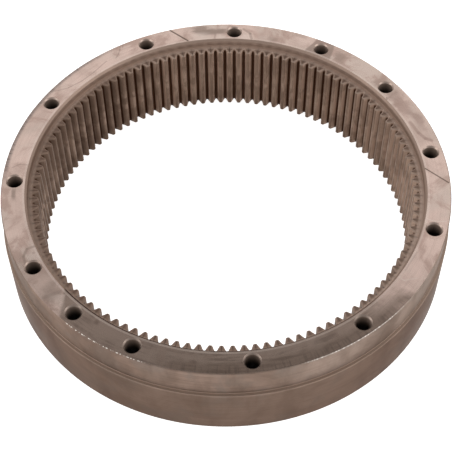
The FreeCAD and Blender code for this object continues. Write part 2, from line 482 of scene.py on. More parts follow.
    def bolt_holes(self, solid: Solid, top: np.ndarray, bottom: np.ndarray) -> None:
        """Add every bolt hole's wall and chamfers between its two rims.

        Args:
            solid: The piece being gathered.
            top: Numbers of the rims in the top face.
            bottom: Numbers of the rims in the bottom face.
        """
        radius, edge, soft = self.holes.radius, self.holes.edge, self.holes.soft
        corners = np.array(
            [
                [radius + edge, self.height, 0.0],
                [radius, self.height - edge, soft],
                [radius, edge, soft],
                [radius + edge, 0.0, 0.0],
            ]
        )
        rings = [self.hole_circle(top.shape[1], *point) for point in soft_corners(corners)[1:-1]]
        walls = solid.add_points(np.stack(rings))
        rows = np.concatenate([top[None], walls, bottom[None]])
        solid.join_loops(rows[:-1], rows[1:], Zone.HOLE)

    def toothed_bore(self, solid: Solid, upper: np.ndarray, lower: np.ndarray) -> None:
        """Add the teeth, their ends and both recess floors.

        The outline of the teeth is carried down the bore. It shrinks into the metal at each end,
        where the edges are broken.

        Args:
            solid: The piece being gathered.
            upper: Numbers of the loop at the outside of the top floor.
            lower: Numbers of the same loop at the bottom.
        """
        stations = (
            (self.top_floor, self.top_tooth_edge),
            (self.top_floor - self.top_tooth_edge, 0.0),
            (self.bottom_floor + self.bottom_tooth_edge, 0.0),
            (self.bottom_floor, self.bottom_tooth_edge),
        )
        rows = []
        for height, shrink in stations:
            flat = self.teeth.outline(shrink)
            rows.append(np.column_stack([flat, np.full(len(flat), height)]))
        walls = solid.add_points(np.stack(rows))
        solid.join_loops(walls[:-1], walls[1:], Zone.BORE)
        lines = []
        for points in (rows[0].copy(), rows[-1].copy()):
            points[:, :2] *= self.floor_line / np.linalg.norm(points[:, :2], axis=1, keepdims=True)
            lines.append(solid.add_points(points))
        solid.zip_loops(upper, lines[0], Zone.RECESS)
        solid.join_loops(lines[0], walls[0], Zone.RECESS)
        solid.join_loops(walls[-1], lines[1], Zone.RECESS)
        solid.zip_loops(lines[1], lower, Zone.RECESS)

    def build(self) -> bpy.types.Object:
        """Gather every surface of the ring and make the piece.

        Returns:
            The piece's object.
        """
        solid = Solid()
        wall = self.outside(solid)
        top_mouth = self.recess(solid, upper=True)
        bottom_mouth = self.recess(solid, upper=False)
        top_rims = self.drilled_face(solid, top_mouth[0], wall[-1], upper=True)
        bottom_rims = self.drilled_face(solid, bottom_mouth[0], wall[0], upper=False)
        self.bolt_holes(solid, top_rims, bottom_rims)
        self.toothed_bore(solid, top_mouth[-1], bottom_mouth[-1])
        piece = solid.build("ring_gear_detailed", self.sharp_angle)
        LOG.info("ring: %d faces", len(piece.data.polygons))
        return piece


class Canvas:
    """Short way to place and join the nodes of one node tree."""

    def __init__(self, tree: bpy.types.NodeTree) -> None:
        """Keep the tree that the nodes go into."""
        self.tree = tree

    def feed(self, socket: bpy.types.NodeSocket, value: Value) -> None:
        """Join a socket to another node's output, or set its value.

        Args:
            socket: The input socket.
            value: An output socket, a number or a colour, which becomes opaque. None leaves the
                socket as it is.
        """
        if isinstance(value, bpy.types.NodeSocket):
            self.tree.links.new(value, socket)
        elif isinstance(value, tuple):
            socket.default_value = (*value, 1.0)
        elif value is not None:
            socket.default_value = value

    def node(self, kind: str, inputs: dict | None = None, **settings: object) -> bpy.types.Node:
        """Place a node.

        Args:
            kind: Its type.
            inputs: Values or output sockets for its inputs, by name or number.
            settings: Its other settings.

        Returns:
            The node.
        """
        made = self.tree.nodes.new(kind)
        for name, value in settings.items():
            setattr(made, name, value)
        for name, value in (inputs or {}).items():
            self.feed(made.inputs[name], value)
        return made

    def group(self, tree: bpy.types.NodeTree, inputs: dict) -> bpy.types.bpy_prop_collection:
        """Place a shared group with its inputs' values and return its outputs."""
        return self.node("ShaderNodeGroup", inputs, node_tree=tree).outputs

    def math(self, operation: str, first: Value, second: Value = None) -> bpy.types.NodeSocket:
        """Place a math node and return its output."""
        return self.node("ShaderNodeMath", {0: first, 1: second}, operation=operation).outputs[0]

    def both(self, first: Value, second: Value) -> bpy.types.NodeSocket:
        """Product of two masks or values."""
        return self.math("MULTIPLY", first, second)

    def less(self, first: Value, second: Value) -> bpy.types.NodeSocket:
        """First value less the second."""
        return self.math("SUBTRACT", first, second)

    def more(self, value: Value, step: Value, share: Value) -> bpy.types.NodeSocket:
        """A value plus a share of a step."""
        return self.math("ADD", value, self.both(step, share))

    def dot(self, first: Parts, second: Parts) -> bpy.types.NodeSocket:
        """Sum of the products of the first two parts of two vectors."""
        return self.more(self.both(first[0], second[0]), first[1], second[1])

    def point_parts(self) -> bpy.types.bpy_prop_collection:
        """The three parts of a point of the piece, in the ring's own frame."""
        point = self.node("ShaderNodeTexCoord").outputs["Object"]
        return self.node("ShaderNodeSeparateXYZ", {0: point}).outputs

    def on_top(self) -> bpy.types.NodeSocket:
        """Mask of the ring's upper part, which keeps marks off the bottom face."""
        return self.window(self.point_parts()[2], *TOP_REACH)

    def window(self, value: Value, start: Value, full: Value) -> bpy.types.NodeSocket:
        """Turn a value into a smooth mask.

        Args:
            value: The value's socket.
            start: Where the mask starts to rise from 0.
            full: Where it reaches 1, over or under the start.

        Returns:
            The mask's socket.
        """
        falling = isinstance(start, float) and isinstance(full, float) and full < start
        inputs = {
            "Value": value,
            "From Min": full if falling else start,
            "From Max": start if falling else full,
            "To Min": 1.0 if falling else 0.0,
            "To Max": 0.0 if falling else 1.0,
        }
        return self.node("ShaderNodeMapRange", inputs, interpolation_type="SMOOTHSTEP").outputs["Result"]

    def blend(
        self, share: Value, first: Value, second: Value, label: str = ""
    ) -> bpy.types.NodeSocket:
        """Mix two colours; the share is how much of the second shows."""
        inputs = {0: share, 6: first, 7: second}
        return self.node("ShaderNodeMix", inputs, data_type="RGBA", label=label).outputs[2]


def empty_canvas(owner: bpy.types.Material | bpy.types.World) -> Canvas:
    """Clear the nodes of a material or world.

    Args:
        owner: The material or world.

    Returns:
        The canvas of its empty node tree.
    """
    owner.use_nodes = True
    owner.node_tree.nodes.clear()
    return Canvas(owner.node_tree)


class GroupCanvas(Canvas):
    """Canvas of a shared group, whose inputs and outputs are all numbers."""

    def __init__(self, name: str, inputs: dict[str, float] | None = None) -> None:
        """Make the group and its inputs.

        Args:
            name: The group's name.
            inputs: First values of its inputs, by name.
        """
        super().__init__(bpy.data.node_groups.new(name, "ShaderNodeTree"))
        for title, value in (inputs or {}).items():
            self.socket(title, "INPUT").default_value = value
        self.given = self.node("NodeGroupInput").outputs

    def socket(self, name: str, side: str) -> bpy.types.NodeTreeInterfaceSocket:
        """Add an input or output to the group."""
        return self.tree.interface.new_socket(name, in_out=side, socket_type="NodeSocketFloat")

    def give(self, **results: bpy.types.NodeSocket) -> bpy.types.NodeTree:
        """Add one output for each result.

        Args:
            results: The results' sockets, by the name of their output.

        Returns:
            The finished group.
        """
        for title in results:
            self.socket(title, "OUTPUT")
        self.node("NodeGroupOutput", results)
        return self.tree


@dataclass(frozen=True)
class FilmShape:
    """Bounds of the oil film on the top face; heights and radii in metres, angles in radians."""

    start: tuple[float, float] = (-0.085, -0.06)
    start_wobble: float = 0.06
    slant: float = 3.3
    slant_radius: float = 0.258
    end: tuple[float, float] = (1.77, 1.32)
    end_wobble: float = 0.6
    height: tuple[float, float] = (0.1, 0.105)
    rim_radius: tuple[float, float] = (0.253, 0.262)
    rim_wobble: float = 0.02
    rim_start: tuple[float, float] = (0.42, 0.62)


class RingEffects:
    """Node groups that more than one finish of the ring uses."""

    def __init__(self) -> None:
        """Build each group once."""
        self.place = self.make_place()
        self.stain = self.make_stain()
        self.streaks = self.make_streaks()
        self.film = self.make_film(FilmShape())
        self.line_mark = self.make_line_mark()
        self.patch_mark = self.make_patch_mark()

    def make_place(self) -> bpy.types.NodeTree:
        """Build the group that tells where on the ring a point lies.

        The radius is the length of the point's first two parts. The angle runs from -pi to pi and
        is 0 on +X. The arc is the angle times a quarter of a metre, about the way round the ring.
        Away is the angle without its sign, so how far round the point lies from the lone hole.

        Returns:
            The group.
        """
        canvas = GroupCanvas("ring_place")
        parts = canvas.point_parts()
        angle = canvas.math("ARCTAN2", parts[1], parts[0])
        return canvas.give(
            Radius=canvas.math("SQRT", canvas.dot(parts, parts)),
            Angle=angle,
            Height=parts[2],
            Arc=canvas.both(angle, 0.25),
            Away=canvas.math("ABSOLUTE", angle),
        )

    def make_stain(self) -> bpy.types.NodeTree:
        """Build the group for cloudy oil stains: a mask cut out of a warped noise.

        The seed moves the noise along all three axes, so that no two stains are alike.

        Returns:
            The group.
        """
        canvas = GroupCanvas("oil_stain", {"Size": 12.0, "Low": 0.4, "High": 0.65, "Seed": 0.0})
        given = canvas.given
        seed = given["Seed"]
        shift = canvas.node("ShaderNodeCombineXYZ", {0: seed, 1: seed, 2: seed}).outputs[0]
        point = canvas.node("ShaderNodeTexCoord").outputs["Object"]
        moved = canvas.node("ShaderNodeVectorMath", {0: point, 1: shift}, operation="ADD").outputs[0]
        inputs = {"Vector": moved, "Scale": given["Size"], "Detail": 5.0, "Roughness": 0.6}
        cloud = canvas.node("ShaderNodeTexNoise", {**inputs, "Distortion": 0.7}).outputs["Fac"]
        return canvas.give(Mask=canvas.window(cloud, given["Low"], given["High"]), Cloud=cloud)

    def make_streaks(self) -> bpy.types.NodeTree:
        """Build the group for streaks: noise that is fine across and drawn out along.

        Returns:
            The group.
        """
        values = {"Across": 0.0, "Along": 0.0, "Fineness": 300.0, "Stretch": 20.0, "Low": 0.45, "High": 0.7}
        canvas = GroupCanvas("streaks", values)
        given = canvas.given
        first = canvas.both(given["Across"], given["Fineness"])
        second = canvas.both(given["Along"], given["Stretch"])
        vector = canvas.node("ShaderNodeCombineXYZ", {0: first, 1: second}).outputs[0]
        inputs = {"Vector": vector, "Scale": 1.0, "Detail": 4.0, "Roughness": 0.6}
        cloud = canvas.node("ShaderNodeTexNoise", inputs).outputs["Fac"]
        return canvas.give(Mask=canvas.window(cloud, given["Low"], given["High"]), Cloud=cloud)

    def make_film(self, shape: FilmShape) -> bpy.types.NodeTree:
        """Build the group for the oil film on the top face beside the lone hole.

        It starts sharply, along a slanting line near the hole, and ends in a cloudy edge.

        Args:
            shape: The film's bounds.

        Returns:
            The group.
        """
        canvas = GroupCanvas("oil_film")
        place = canvas.group(self.place, {})
        wobble = canvas.less(canvas.group(self.stain, {"Size": 18.0, "Seed": 11.0})["Cloud"], 0.5)
        slant = canvas.both(canvas.less(place["Radius"], shape.slant_radius), shape.slant)
        start = canvas.more(canvas.less(place["Angle"], slant), wobble, shape.start_wobble)
        loose = canvas.more(place["Angle"], wobble, shape.end_wobble)
        mask = canvas.both(canvas.window(start, *shape.start), canvas.window(loose, *shape.end))
        mask = canvas.both(mask, canvas.window(place["Height"], *shape.height))
        across = canvas.more(place["Radius"], wobble, shape.rim_wobble)
        rim = canvas.both(canvas.window(across, *shape.rim_radius), canvas.window(loose, *shape.rim_start))
        return canvas.give(Mask=mask, Rim=canvas.both(mask, rim))

    def make_line_mark(self) -> bpy.types.NodeTree:
        """Build the group for a straight mark on the top face.

        The mask falls from 1 to 0 between 0.4 of the width and the width, measured as the
        distance to the nearest point of the line from its start to its end.

        Returns:
            The group.
        """
        values = {"Start X": 0.0, "Start Y": 0.0, "End X": 0.01, "End Y": 0.0, "Width": 0.001}
        canvas = GroupCanvas("line_mark", values)
        start_x, start_y, end_x, end_y, width = (canvas.given[name] for name in values)
        parts = canvas.point_parts()
        along = [canvas.less(end_x, start_x), canvas.less(end_y, start_y)]
        away = [canvas.less(parts[0], start_x), canvas.less(parts[1], start_y)]
        share = canvas.math("DIVIDE", canvas.dot(along, away), canvas.dot(along, along))
        share = canvas.math("MINIMUM", canvas.math("MAXIMUM", share, 0.0), 1.0)
        gaps = [canvas.less(whole, canvas.both(part, share)) for whole, part in zip(away, along)]
        near = canvas.math("DIVIDE", canvas.math("SQRT", canvas.dot(gaps, gaps)), width)
        return canvas.give(Mask=canvas.both(canvas.window(near, 1.0, 0.4), canvas.on_top()))

    def make_patch_mark(self) -> bpy.types.NodeTree:
        """Build the group for a soft patch on the top face.

        Two lines of angle that lean apart by the flare, and two radii, bound it. Noise makes its
        edge ragged, and the mask falls from 1 to 0 over the soft share on both sides of that edge.

        Returns:
            The group.
        """
        values = {
            "Angle": 0.0,
            "Half Angle": 0.05,
            "Flare": 0.0,
            "Radius": 0.257,
            "Half Radius": 0.02,
            "Ragged": 0.3,
            "Soft": 0.5,
        }
        canvas = GroupCanvas("patch_mark", values)
        given = canvas.given
        place = canvas.group(self.place, {})
        cloud = canvas.group(self.stain, {"Size": 60.0, "Seed": 5.0})["Cloud"]
        ragged = canvas.both(canvas.less(cloud, 0.5), given["Ragged"])
        turned = canvas.math("ABSOLUTE", canvas.less(place["Angle"], given["Angle"]))
        out_from = canvas.less(place["Radius"], given["Radius"])
        half = canvas.more(given["Half Angle"], out_from, given["Flare"])
        side = canvas.math("DIVIDE", turned, half)
        end = canvas.math("DIVIDE", canvas.math("ABSOLUTE", out_from), given["Half Radius"])
        mask = canvas.on_top()
        for share in (side, end):
            past = canvas.less(canvas.math("ADD", share, ragged), 1.0)
            faded = canvas.math("DIVIDE", past, given["Soft"])
            mask = canvas.both(mask, canvas.window(faded, 1.0, -1.0))
        return canvas.give(Mask=mask)


class Way(Enum):
    """Coordinates on the ring, by the name of their output in the place group."""

    RADIUS = "Radius"
    ANGLE = "Angle"
    HEIGHT = "Height"
    ARC = "Arc"
    AWAY = "Away"


class Mask(Protocol):
    """Anything that can place the nodes of a mask."""

    def nodes(self, painter: "Painter") -> bpy.types.NodeSocket:
        """Place the mask's nodes and return the mask's socket."""


@dataclass(frozen=True)
class Reach:
    """Mask over one coordinate: nothing up to its start, everything from full on."""

    way: Way
    start: float
    full: float

    def nodes(self, painter: "Painter") -> bpy.types.NodeSocket:
        """Place the mask's nodes and return the mask's socket."""
        return painter.canvas.window(painter.place[self.way.value], self.start, self.full)


@dataclass(frozen=True)
class Clouds:
    """Cloudy stains: cycles in a metre, the noise where they start and are full, and a seed."""

    size: float
    start: float
    full: float
    seed: float

    def outputs(self, painter: "Painter") -> bpy.types.bpy_prop_collection:
        """Place the stain group with these values and return its outputs."""
        values = {"Size": self.size, "Low": self.start, "High": self.full, "Seed": self.seed}
        return painter.canvas.group(painter.effects.stain, values)

    def nodes(self, painter: "Painter") -> bpy.types.NodeSocket:
        """Place the mask's nodes and return the mask's socket."""
        return self.outputs(painter)["Mask"]


@dataclass(frozen=True)
class Streaks:
    """Streaks: cycles in a metre across and along, and the noise where they start and are full.

    With a stretch of zero they don't change along at all.
    """

    across: Way
    along: Way
    fineness: float
    stretch: float
    start: float
    full: float

    def outputs(self, painter: "Painter") -> bpy.types.bpy_prop_collection:
        """Place the streaks group with these values.

        Args:
            painter: The material's painter.

        Returns:
            The group's outputs.
        """
        values = {
            "Across": painter.place[self.across.value],
            "Along": painter.place[self.along.value],
            "Fineness": self.fineness,
            "Stretch": self.stretch,
            "Low": self.start,
            "High": self.full,
        }
        return painter.canvas.group(painter.effects.streaks, values)

    def nodes(self, painter: "Painter") -> bpy.types.NodeSocket:
        """Place the mask's nodes and return the mask's socket."""
        return self.outputs(painter)["Mask"]


class Film(Enum):
    """Masks of the oil film: all of it, or the dark rim along its outside."""

    OIL = "Mask"
    RIM = "Rim"

    def nodes(self, painter: "Painter") -> bpy.types.NodeSocket:
        """Return the socket of one of the film's masks."""
        return painter.film[self.value]


@dataclass(frozen=True)
class Level:
    """Mask that has one level, and is a step higher or lower where all of its masks are."""

    level: float
    step: float
    masks: tuple[Mask, ...]

    def nodes(self, painter: "Painter") -> bpy.types.NodeSocket:
        """Place the mask's nodes and return the mask's socket."""
        return painter.canvas.math("ADD", painter.product(self.masks, self.step), self.level)


@dataclass(frozen=True)
class Either:
    """Mask where one of two masks is."""

    first: Mask
    second: Mask

    def nodes(self, painter: "Painter") -> bpy.types.NodeSocket:
        """Place the mask's nodes and return the mask's socket."""
        return painter.canvas.math("MAXIMUM", painter.mask(self.first), painter.mask(self.second))


class MarkKind(Enum):
    """Kinds of the marks on the top face, by the name of their group in RingEffects."""

    LINE = "line_mark"
    PATCH = "patch_mark"


@dataclass(frozen=True)
class Mark:
    """Mask of one mark on the top face: its kind and the values of that kind's group."""

    kind: MarkKind
    values: tuple[tuple[str, float], ...]

    def nodes(self, painter: "Painter") -> bpy.types.NodeSocket:
        """Place the mask's nodes and return the mask's socket."""
        tree = getattr(painter.effects, self.kind.value)
        return painter.canvas.group(tree, dict(self.values))["Mask"]


class Painter:
    """Places the masks of one material, each of them once."""

    def __init__(self, canvas: Canvas, effects: RingEffects) -> None:
        """Place the coordinates that the masks read.

        Args:
            canvas: The material's canvas.
            effects: The shared node groups.
        """
        self.canvas = canvas
        self.effects = effects
        self.place = canvas.group(effects.place, {})
        self.placed: dict[Mask, bpy.types.NodeSocket] = {}

    @cached_property
    def film(self) -> bpy.types.bpy_prop_collection:
        """The oil film's masks, placed when they are first asked for."""
        return self.canvas.group(self.effects.film, {})

    def mask(self, mask: Mask) -> bpy.types.NodeSocket:
        """Place a mask, unless it is there already.

        Args:
            mask: The mask.

        Returns:
            The mask's socket.
        """
        if mask not in self.placed:
            self.placed[mask] = mask.nodes(self)
        return self.placed[mask]

    def product(self, masks: tuple[Mask, ...], share: float) -> bpy.types.NodeSocket:
        """Product of masks and a share.

        Args:
            masks: The masks.
            share: What the product is where all masks are full.

        Returns:
            The product's socket.
        """
        value = self.mask(masks[0])
        for mask in masks[1:]:
            value = self.canvas.both(value, self.mask(mask))
        return value if share == 1.0 else self.canvas.both(value, share)


@dataclass(frozen=True)
class Fade:
    """Colour that turns into a second one where a mask is."""

    first: Colour
    second: Colour
    mask: Mask


@dataclass(frozen=True)
class Layer:
    """Colour laid over a finish: how much of it shows, and the masks that bound it."""

    name: str
    tint: Colour | Fade
    share: float
    masks: tuple[Mask, ...]

    def lay(self, painter: Painter, colour: bpy.types.NodeSocket) -> bpy.types.NodeSocket:
        """Lay the colour over another.

        Args:
            painter: The material's painter.
            colour: The colour under it.

        Returns:
            The new colour's socket.
        """
        tint = self.tint
        if isinstance(tint, Fade):
            tint = painter.canvas.blend(painter.mask(tint.mask), tint.first, tint.second)
        return painter.canvas.blend(painter.product(self.masks, self.share), colour, tint, self.name)


@dataclass(frozen=True)
class Finish:
    """A finish of the ring: oiled steel with shared stains and tool marks, under its own layers.

    The stains turn the clean colour into the stained one, and the tool marks add the dark one.
    The layers follow in their order. The roughness goes from its first value to its second as the
    stains' clouds grow. With a metal mask, the surface is metallic only where that mask is.
    """

    name: str
    clean: Colour
    stained: Colour
    dark: Colour
    metallic: float
    roughness: tuple[float, float]
    tool_across: Way
    layers: tuple[Layer, ...]
    tool_along: Way = Way.ARC
    metal: Mask | None = None
    marks_fineness: float = 420.0
    marks_stretch: float = 9.0
    marks_reach: tuple[float, float] = (0.42, 0.75)
    marks_strength: float = 0.4
    stains: Clouds = Clouds(size=14.0, start=0.42, full=0.66, seed=3.0)
    cloud_range: tuple[float, float] = (0.3, 0.7)
    bump: float = 0.25
    bump_distance: float = 0.0002
    specular: float = 0.5
    edge_tint: Colour = (1.0, 1.0, 1.0)

    def make(self, effects: RingEffects) -> bpy.types.Material:
        """Build the finish's material.

        Args:
            effects: The shared node groups.

        Returns:
            The material.
        """
        material = bpy.data.materials.new(self.name)
        canvas = empty_canvas(material)
        painter = Painter(canvas, effects)
        stains = self.stains.outputs(painter)
        tool = (self.tool_across, self.tool_along)
        marks = Streaks(*tool, self.marks_fineness, self.marks_stretch, *self.marks_reach).outputs(painter)
        colour = canvas.blend(stains["Mask"], self.clean, self.stained)
        colour = canvas.blend(canvas.both(marks["Mask"], self.marks_strength), colour, self.dark)
        for layer in self.layers:
            colour = layer.lay(painter, colour)
        spans = {
            "Value": stains["Cloud"],
            "From Min": self.cloud_range[0],
            "From Max": self.cloud_range[1],
            "To Min": self.roughness[0],
            "To Max": self.roughness[1],
        }
        height = {"Strength": self.bump, "Distance": self.bump_distance, "Height": marks["Cloud"]}
        metallic = self.metallic
        if self.metal is not None:
            metallic = canvas.both(painter.mask(self.metal), metallic)
        inputs = {
            "Base Color": colour,
            "Metallic": metallic,
            "Roughness": canvas.node("ShaderNodeMapRange", spans).outputs["Result"],
            "Normal": canvas.node("ShaderNodeBump", height).outputs[0],
            "Specular IOR Level": self.specular,
            "Specular Tint": self.edge_tint,
        }
        shader = canvas.node("ShaderNodeBsdfPrincipled", inputs)
        canvas.node("ShaderNodeOutputMaterial", {"Surface": shader.outputs[0]})
        return material


class MarkTint(Enum):
    """Colours of the marks on the top face."""

    SCRIBED = (0.12, 0.08, 0.06)
    # Smear colour, which also paints a clamp's cast shadow, the first of the top face's marks
    SMEAR = (0.27, 0.2, 0.165)
    BLUSH = (0.36, 0.25, 0.21)
    PALE = (0.72, 0.6, 0.53)


def stroke(
    places: tuple[tuple[float, float], ...], width: float, tint: MarkTint, strength: float
) -> list[Layer]:
    """Mark that runs straight from each place to the next on the top face.

    Args:
        places: Radius in millimetres and angle in degrees of each place.
        width: Half its width in millimetres.
        tint: Its colour.
        strength: How much of its colour shows.

    Returns:
        One layer for each straight run.
    """
    radius, angle = np.array(places).T
    points = radius * MILLIMETRE * np.array([np.cos(np.radians(angle)), np.sin(np.radians(angle))])
    names = ("Start X", "Start Y", "End X", "End Y", "Width")
    layers = []
    for first, last in zip(points.T[:-1].tolist(), points.T[1:].tolist()):
        values = tuple(zip(names, (*first, *last, width * MILLIMETRE)))
        layers.append(Layer(tint.name.lower(), tint.value, strength, (Mark(MarkKind.LINE, values),)))
    return layers


def patch(
    place: tuple[float, float],
    half: tuple[float, float],
    tint: MarkTint,
    strength: float,
    ragged: float = 1.3,
    flare: float = 0.0,
    soft: float = 0.6,
) -> Layer:
    """Soft patch on the top face.

    Args:
        place: Radius in millimetres and angle in degrees of its middle.
        half: Half its reach, in millimetres and degrees.
        tint: Its colour.
        strength: How much of its colour shows.
        ragged: How uneven its edge is.
        flare: Radians that each side turns away for each metre outwards.
        soft: How wide its faded edge is, as a share of half its reach.

    Returns:
        The patch's layer.
    """
    values = (
        ("Radius", place[0] * MILLIMETRE),
        ("Angle", math.radians(place[1])),
        ("Half Radius", half[0] * MILLIMETRE),
        ("Half Angle", math.radians(half[1])),
        ("Flare", flare),
        ("Ragged", ragged),
        ("Soft", soft),
    )
    return Layer(tint.name.lower(), tint.value, strength, (Mark(MarkKind.PATCH, values),))


# Marks on the top face, in the order in which they are laid
TOP_MARKS = (
    # Painted shadow: a hard-edged trapezoid beside the hole at -168 degrees, a clamp's cast shadow
    patch((257.5, -168.1), (22.0, 3.5), MarkTint.SMEAR, 0.7, ragged=0.15, flare=-1.15, soft=0.1),
    patch((255.0, -174.4), (8.0, 1.7), MarkTint.SMEAR, 0.5),
    patch((257.0, -135.0), (5.0, 4.2), MarkTint.SMEAR, 0.8),
    patch((263.5, -131.0), (7.0, 2.4), MarkTint.SMEAR, 0.75),
    patch((264.0, -167.4), (7.0, 2.2), MarkTint.BLUSH, 0.7),
    patch((257.0, 167.5), (9.0, 4.0), MarkTint.SMEAR, 0.4, ragged=2.0),
    patch((248.5, -153.0), (4.0, 1.3), MarkTint.SMEAR, 0.4),
    patch((268.0, -160.4), (3.5, 1.8), MarkTint.SMEAR, 0.35),
    patch((256.0, -8.5), (11.0, 2.2), MarkTint.SMEAR, 0.55, ragged=2.0),
    patch((257.0, -13.5), (24.0, 9.0), MarkTint.SMEAR, 0.35, ragged=2.0),
    patch((250.0, 6.6), (2.6, 0.6), MarkTint.SCRIBED, 0.5),
    patch((248.0, -22.2), (2.0, 0.4), MarkTint.BLUSH, 0.7),
    patch((249.0, -144.6), (7.0, 1.9), MarkTint.PALE, 0.4, ragged=0.8),
    patch((247.0, -137.2), (5.0, 1.4), MarkTint.PALE, 0.4, ragged=0.8),
    patch((250.0, -130.2), (7.0, 2.8), MarkTint.PALE, 0.35, ragged=0.8),
    patch((249.5, -20.8), (8.0, 1.9), MarkTint.PALE, 0.35, ragged=0.8),
    patch((252.0, -5.6), (10.0, 1.1), MarkTint.PALE, 0.35, ragged=1.0, flare=3.3),
    *stroke(((270.3, -122.3), (245.0, -126.5)), 1.5, MarkTint.SCRIBED, 0.9),
    # Painted highlight: a pale line along the scribed groove's edge
    *stroke(((269.0, -121.8), (245.0, -125.8)), 0.8, MarkTint.PALE, 0.4),
    *stroke(((243.1, 135.4), (269.4, 130.1)), 1.2, MarkTint.SCRIBED, 0.85),
    *stroke(((262.5, -143.7), (255.0, -145.8), (245.5, -146.5)), 2.6, MarkTint.SMEAR, 0.45),
    *stroke(((254.0, -135.3), (243.5, -134.9)), 2.0, MarkTint.SMEAR, 0.35),
    *stroke(
        ((259.0, -17.0), (262.5, -19.5), (260.5, -22.3), (253.0, -24.2), (244.0, -24.2)),
        2.2,
        MarkTint.SMEAR,
        0.45,
    ),
    *stroke(((268.0, -8.5), (247.5, -7.2)), 3.0, MarkTint.SMEAR, 0.3),
    patch((256.6, -43.4), (2.4, 1.7), MarkTint.SMEAR, 0.7, ragged=0.6),
    *stroke(((262.0, -52.7), (254.0, -54.0), (244.5, -54.0)), 1.1, MarkTint.SMEAR, 0.35),
    *stroke(((270.0, -107.9), (265.5, -107.3)), 0.8, MarkTint.SCRIBED, 0.35),
    *stroke(((270.0, -106.9), (264.0, -106.2), (258.0, -105.0), (253.0, -103.4)), 1.1, MarkTint.SMEAR, 0.4),
    *stroke(((256.0, -100.5), (250.5, -95.0), (250.0, -90.0), (255.0, -85.5)), 1.2, MarkTint.SMEAR, 0.35),
    *stroke(((255.0, -85.5), (262.0, -83.0), (271.0, -81.0)), 1.0, MarkTint.SMEAR, 0.3),
    *stroke(((263.0, 145.0), (257.0, 146.0), (252.0, 148.5), (249.5, 153.0)), 3.2, MarkTint.BLUSH, 0.6),
    patch((254.0, 160.0), (9.0, 4.2), MarkTint.BLUSH, 0.7, ragged=2.4),
    patch((262.0, 152.5), (6.0, 3.0), MarkTint.BLUSH, 0.6, ragged=2.4),
    *stroke(((246.5, 164.7), (244.0, 163.9)), 0.9, MarkTint.SCRIBED, 0.5),
    *stroke(((268.0, 117.4), (256.0, 116.6), (246.0, 116.9)), 0.9, MarkTint.PALE, 0.5),
    *stroke(((262.0, 97.5), (252.0, 95.0), (244.0, 95.2)), 1.3, MarkTint.PALE, 0.35),
    *stroke(((246.0, 98.0), (247.0, 105.0)), 1.6, MarkTint.SMEAR, 0.25),
)

# The turned top and bottom faces
TICKS = Streaks(Way.ARC, Way.RADIUS, 520.0, 25.0, 0.5, 0.62)
BRUSHED = (Streaks(Way.RADIUS, Way.ARC, 300.0, 26.0, 0.42, 0.62), Clouds(30.0, 0.38, 0.6, 41.0))
FAR_SIDE = (Reach(Way.ANGLE, -1.95, -1.6), Reach(Way.ANGLE, -0.8, -0.95))
FACE = Finish(
    name="turned_face",
    clean=(0.70, 0.525, 0.455),
    stained=(0.56, 0.42, 0.36),
    dark=(0.4, 0.29, 0.24),
    metallic=0.9,
    roughness=(0.2, 0.28),
    tool_across=Way.RADIUS,
    marks_fineness=500.0,
    marks_strength=0.25,
    bump=0.12,
    edge_tint=(0.95, 0.86, 0.8),
    layers=(
        Layer("tan clouds", (0.60, 0.485, 0.42), 0.8, (Clouds(7.0, 0.45, 0.62, 21.0),)),
        Layer("blush clouds", (0.44, 0.305, 0.255), 0.75, (Clouds(24.0, 0.5, 0.64, 33.0),)),
        Layer("film", (0.25, 0.184, 0.148), 0.85, (Film.OIL,)),
        Layer("film rim", (0.19, 0.135, 0.106), 0.62, (Film.RIM,)),
        Layer("brushed film", (0.14, 0.098, 0.078), 0.55, (*BRUSHED, Film.OIL)),
        Layer("near ticks", (0.09, 0.066, 0.055), 0.4, (TICKS, Film.RIM, Reach(Way.RADIUS, 0.257, 0.266))),
        # Painted shade: a grey band along the outer edge on the far side, standing in for the edge
        # chamfer's shade, broken by the ticks
        Layer(
            "far rim",
            (0.15, 0.125, 0.115),
            1.0,
            (*FAR_SIDE, Reach(Way.RADIUS, 0.265, 0.2695), Level(0.6, 0.3, (TICKS,))),
        ),
        *TOP_MARKS,
    ),
)

# The outer bands
BAND_DARK = (0.11, 0.073, 0.055)
GLINT_STEEL = (1.0, 0.93, 0.86)
BROKEN = Streaks(Way.ARC, Way.HEIGHT, 330.0, 0.0, 0.49, 0.56)
PILOT_TOP = Reach(Way.HEIGHT, 0.1141, 0.1144)
# Painted light: where the upper band is lighter on one stretch, as lit
LIT_STRETCH = (Reach(Way.ANGLE, 0.85, 1.2), Reach(Way.ANGLE, 1.95, 1.65), Reach(Way.HEIGHT, 0.074, 0.077))
LIT_RELIEF = (Reach(Way.RADIUS, 0.2723, 0.2719), Reach(Way.HEIGHT, 0.0752, 0.0748))
LIT_STEP = (
    Reach(Way.RADIUS, 0.2721, 0.2724),
    Reach(Way.HEIGHT, 0.0721, 0.07245),
    Reach(Way.HEIGHT, 0.0735, 0.0728),
)
# Knocked top edge with painted highlights: broken bright dashes on the near-side chamfer
KNOCKED_GLINT_LEFT = (PILOT_TOP, Reach(Way.ANGLE, 0.0, 0.03), Reach(Way.ANGLE, 0.41, 0.36))
KNOCKED_GLINT_RIGHT = (PILOT_TOP, Reach(Way.ANGLE, 1.02, 1.1), Reach(Way.ANGLE, 1.6, 1.44))
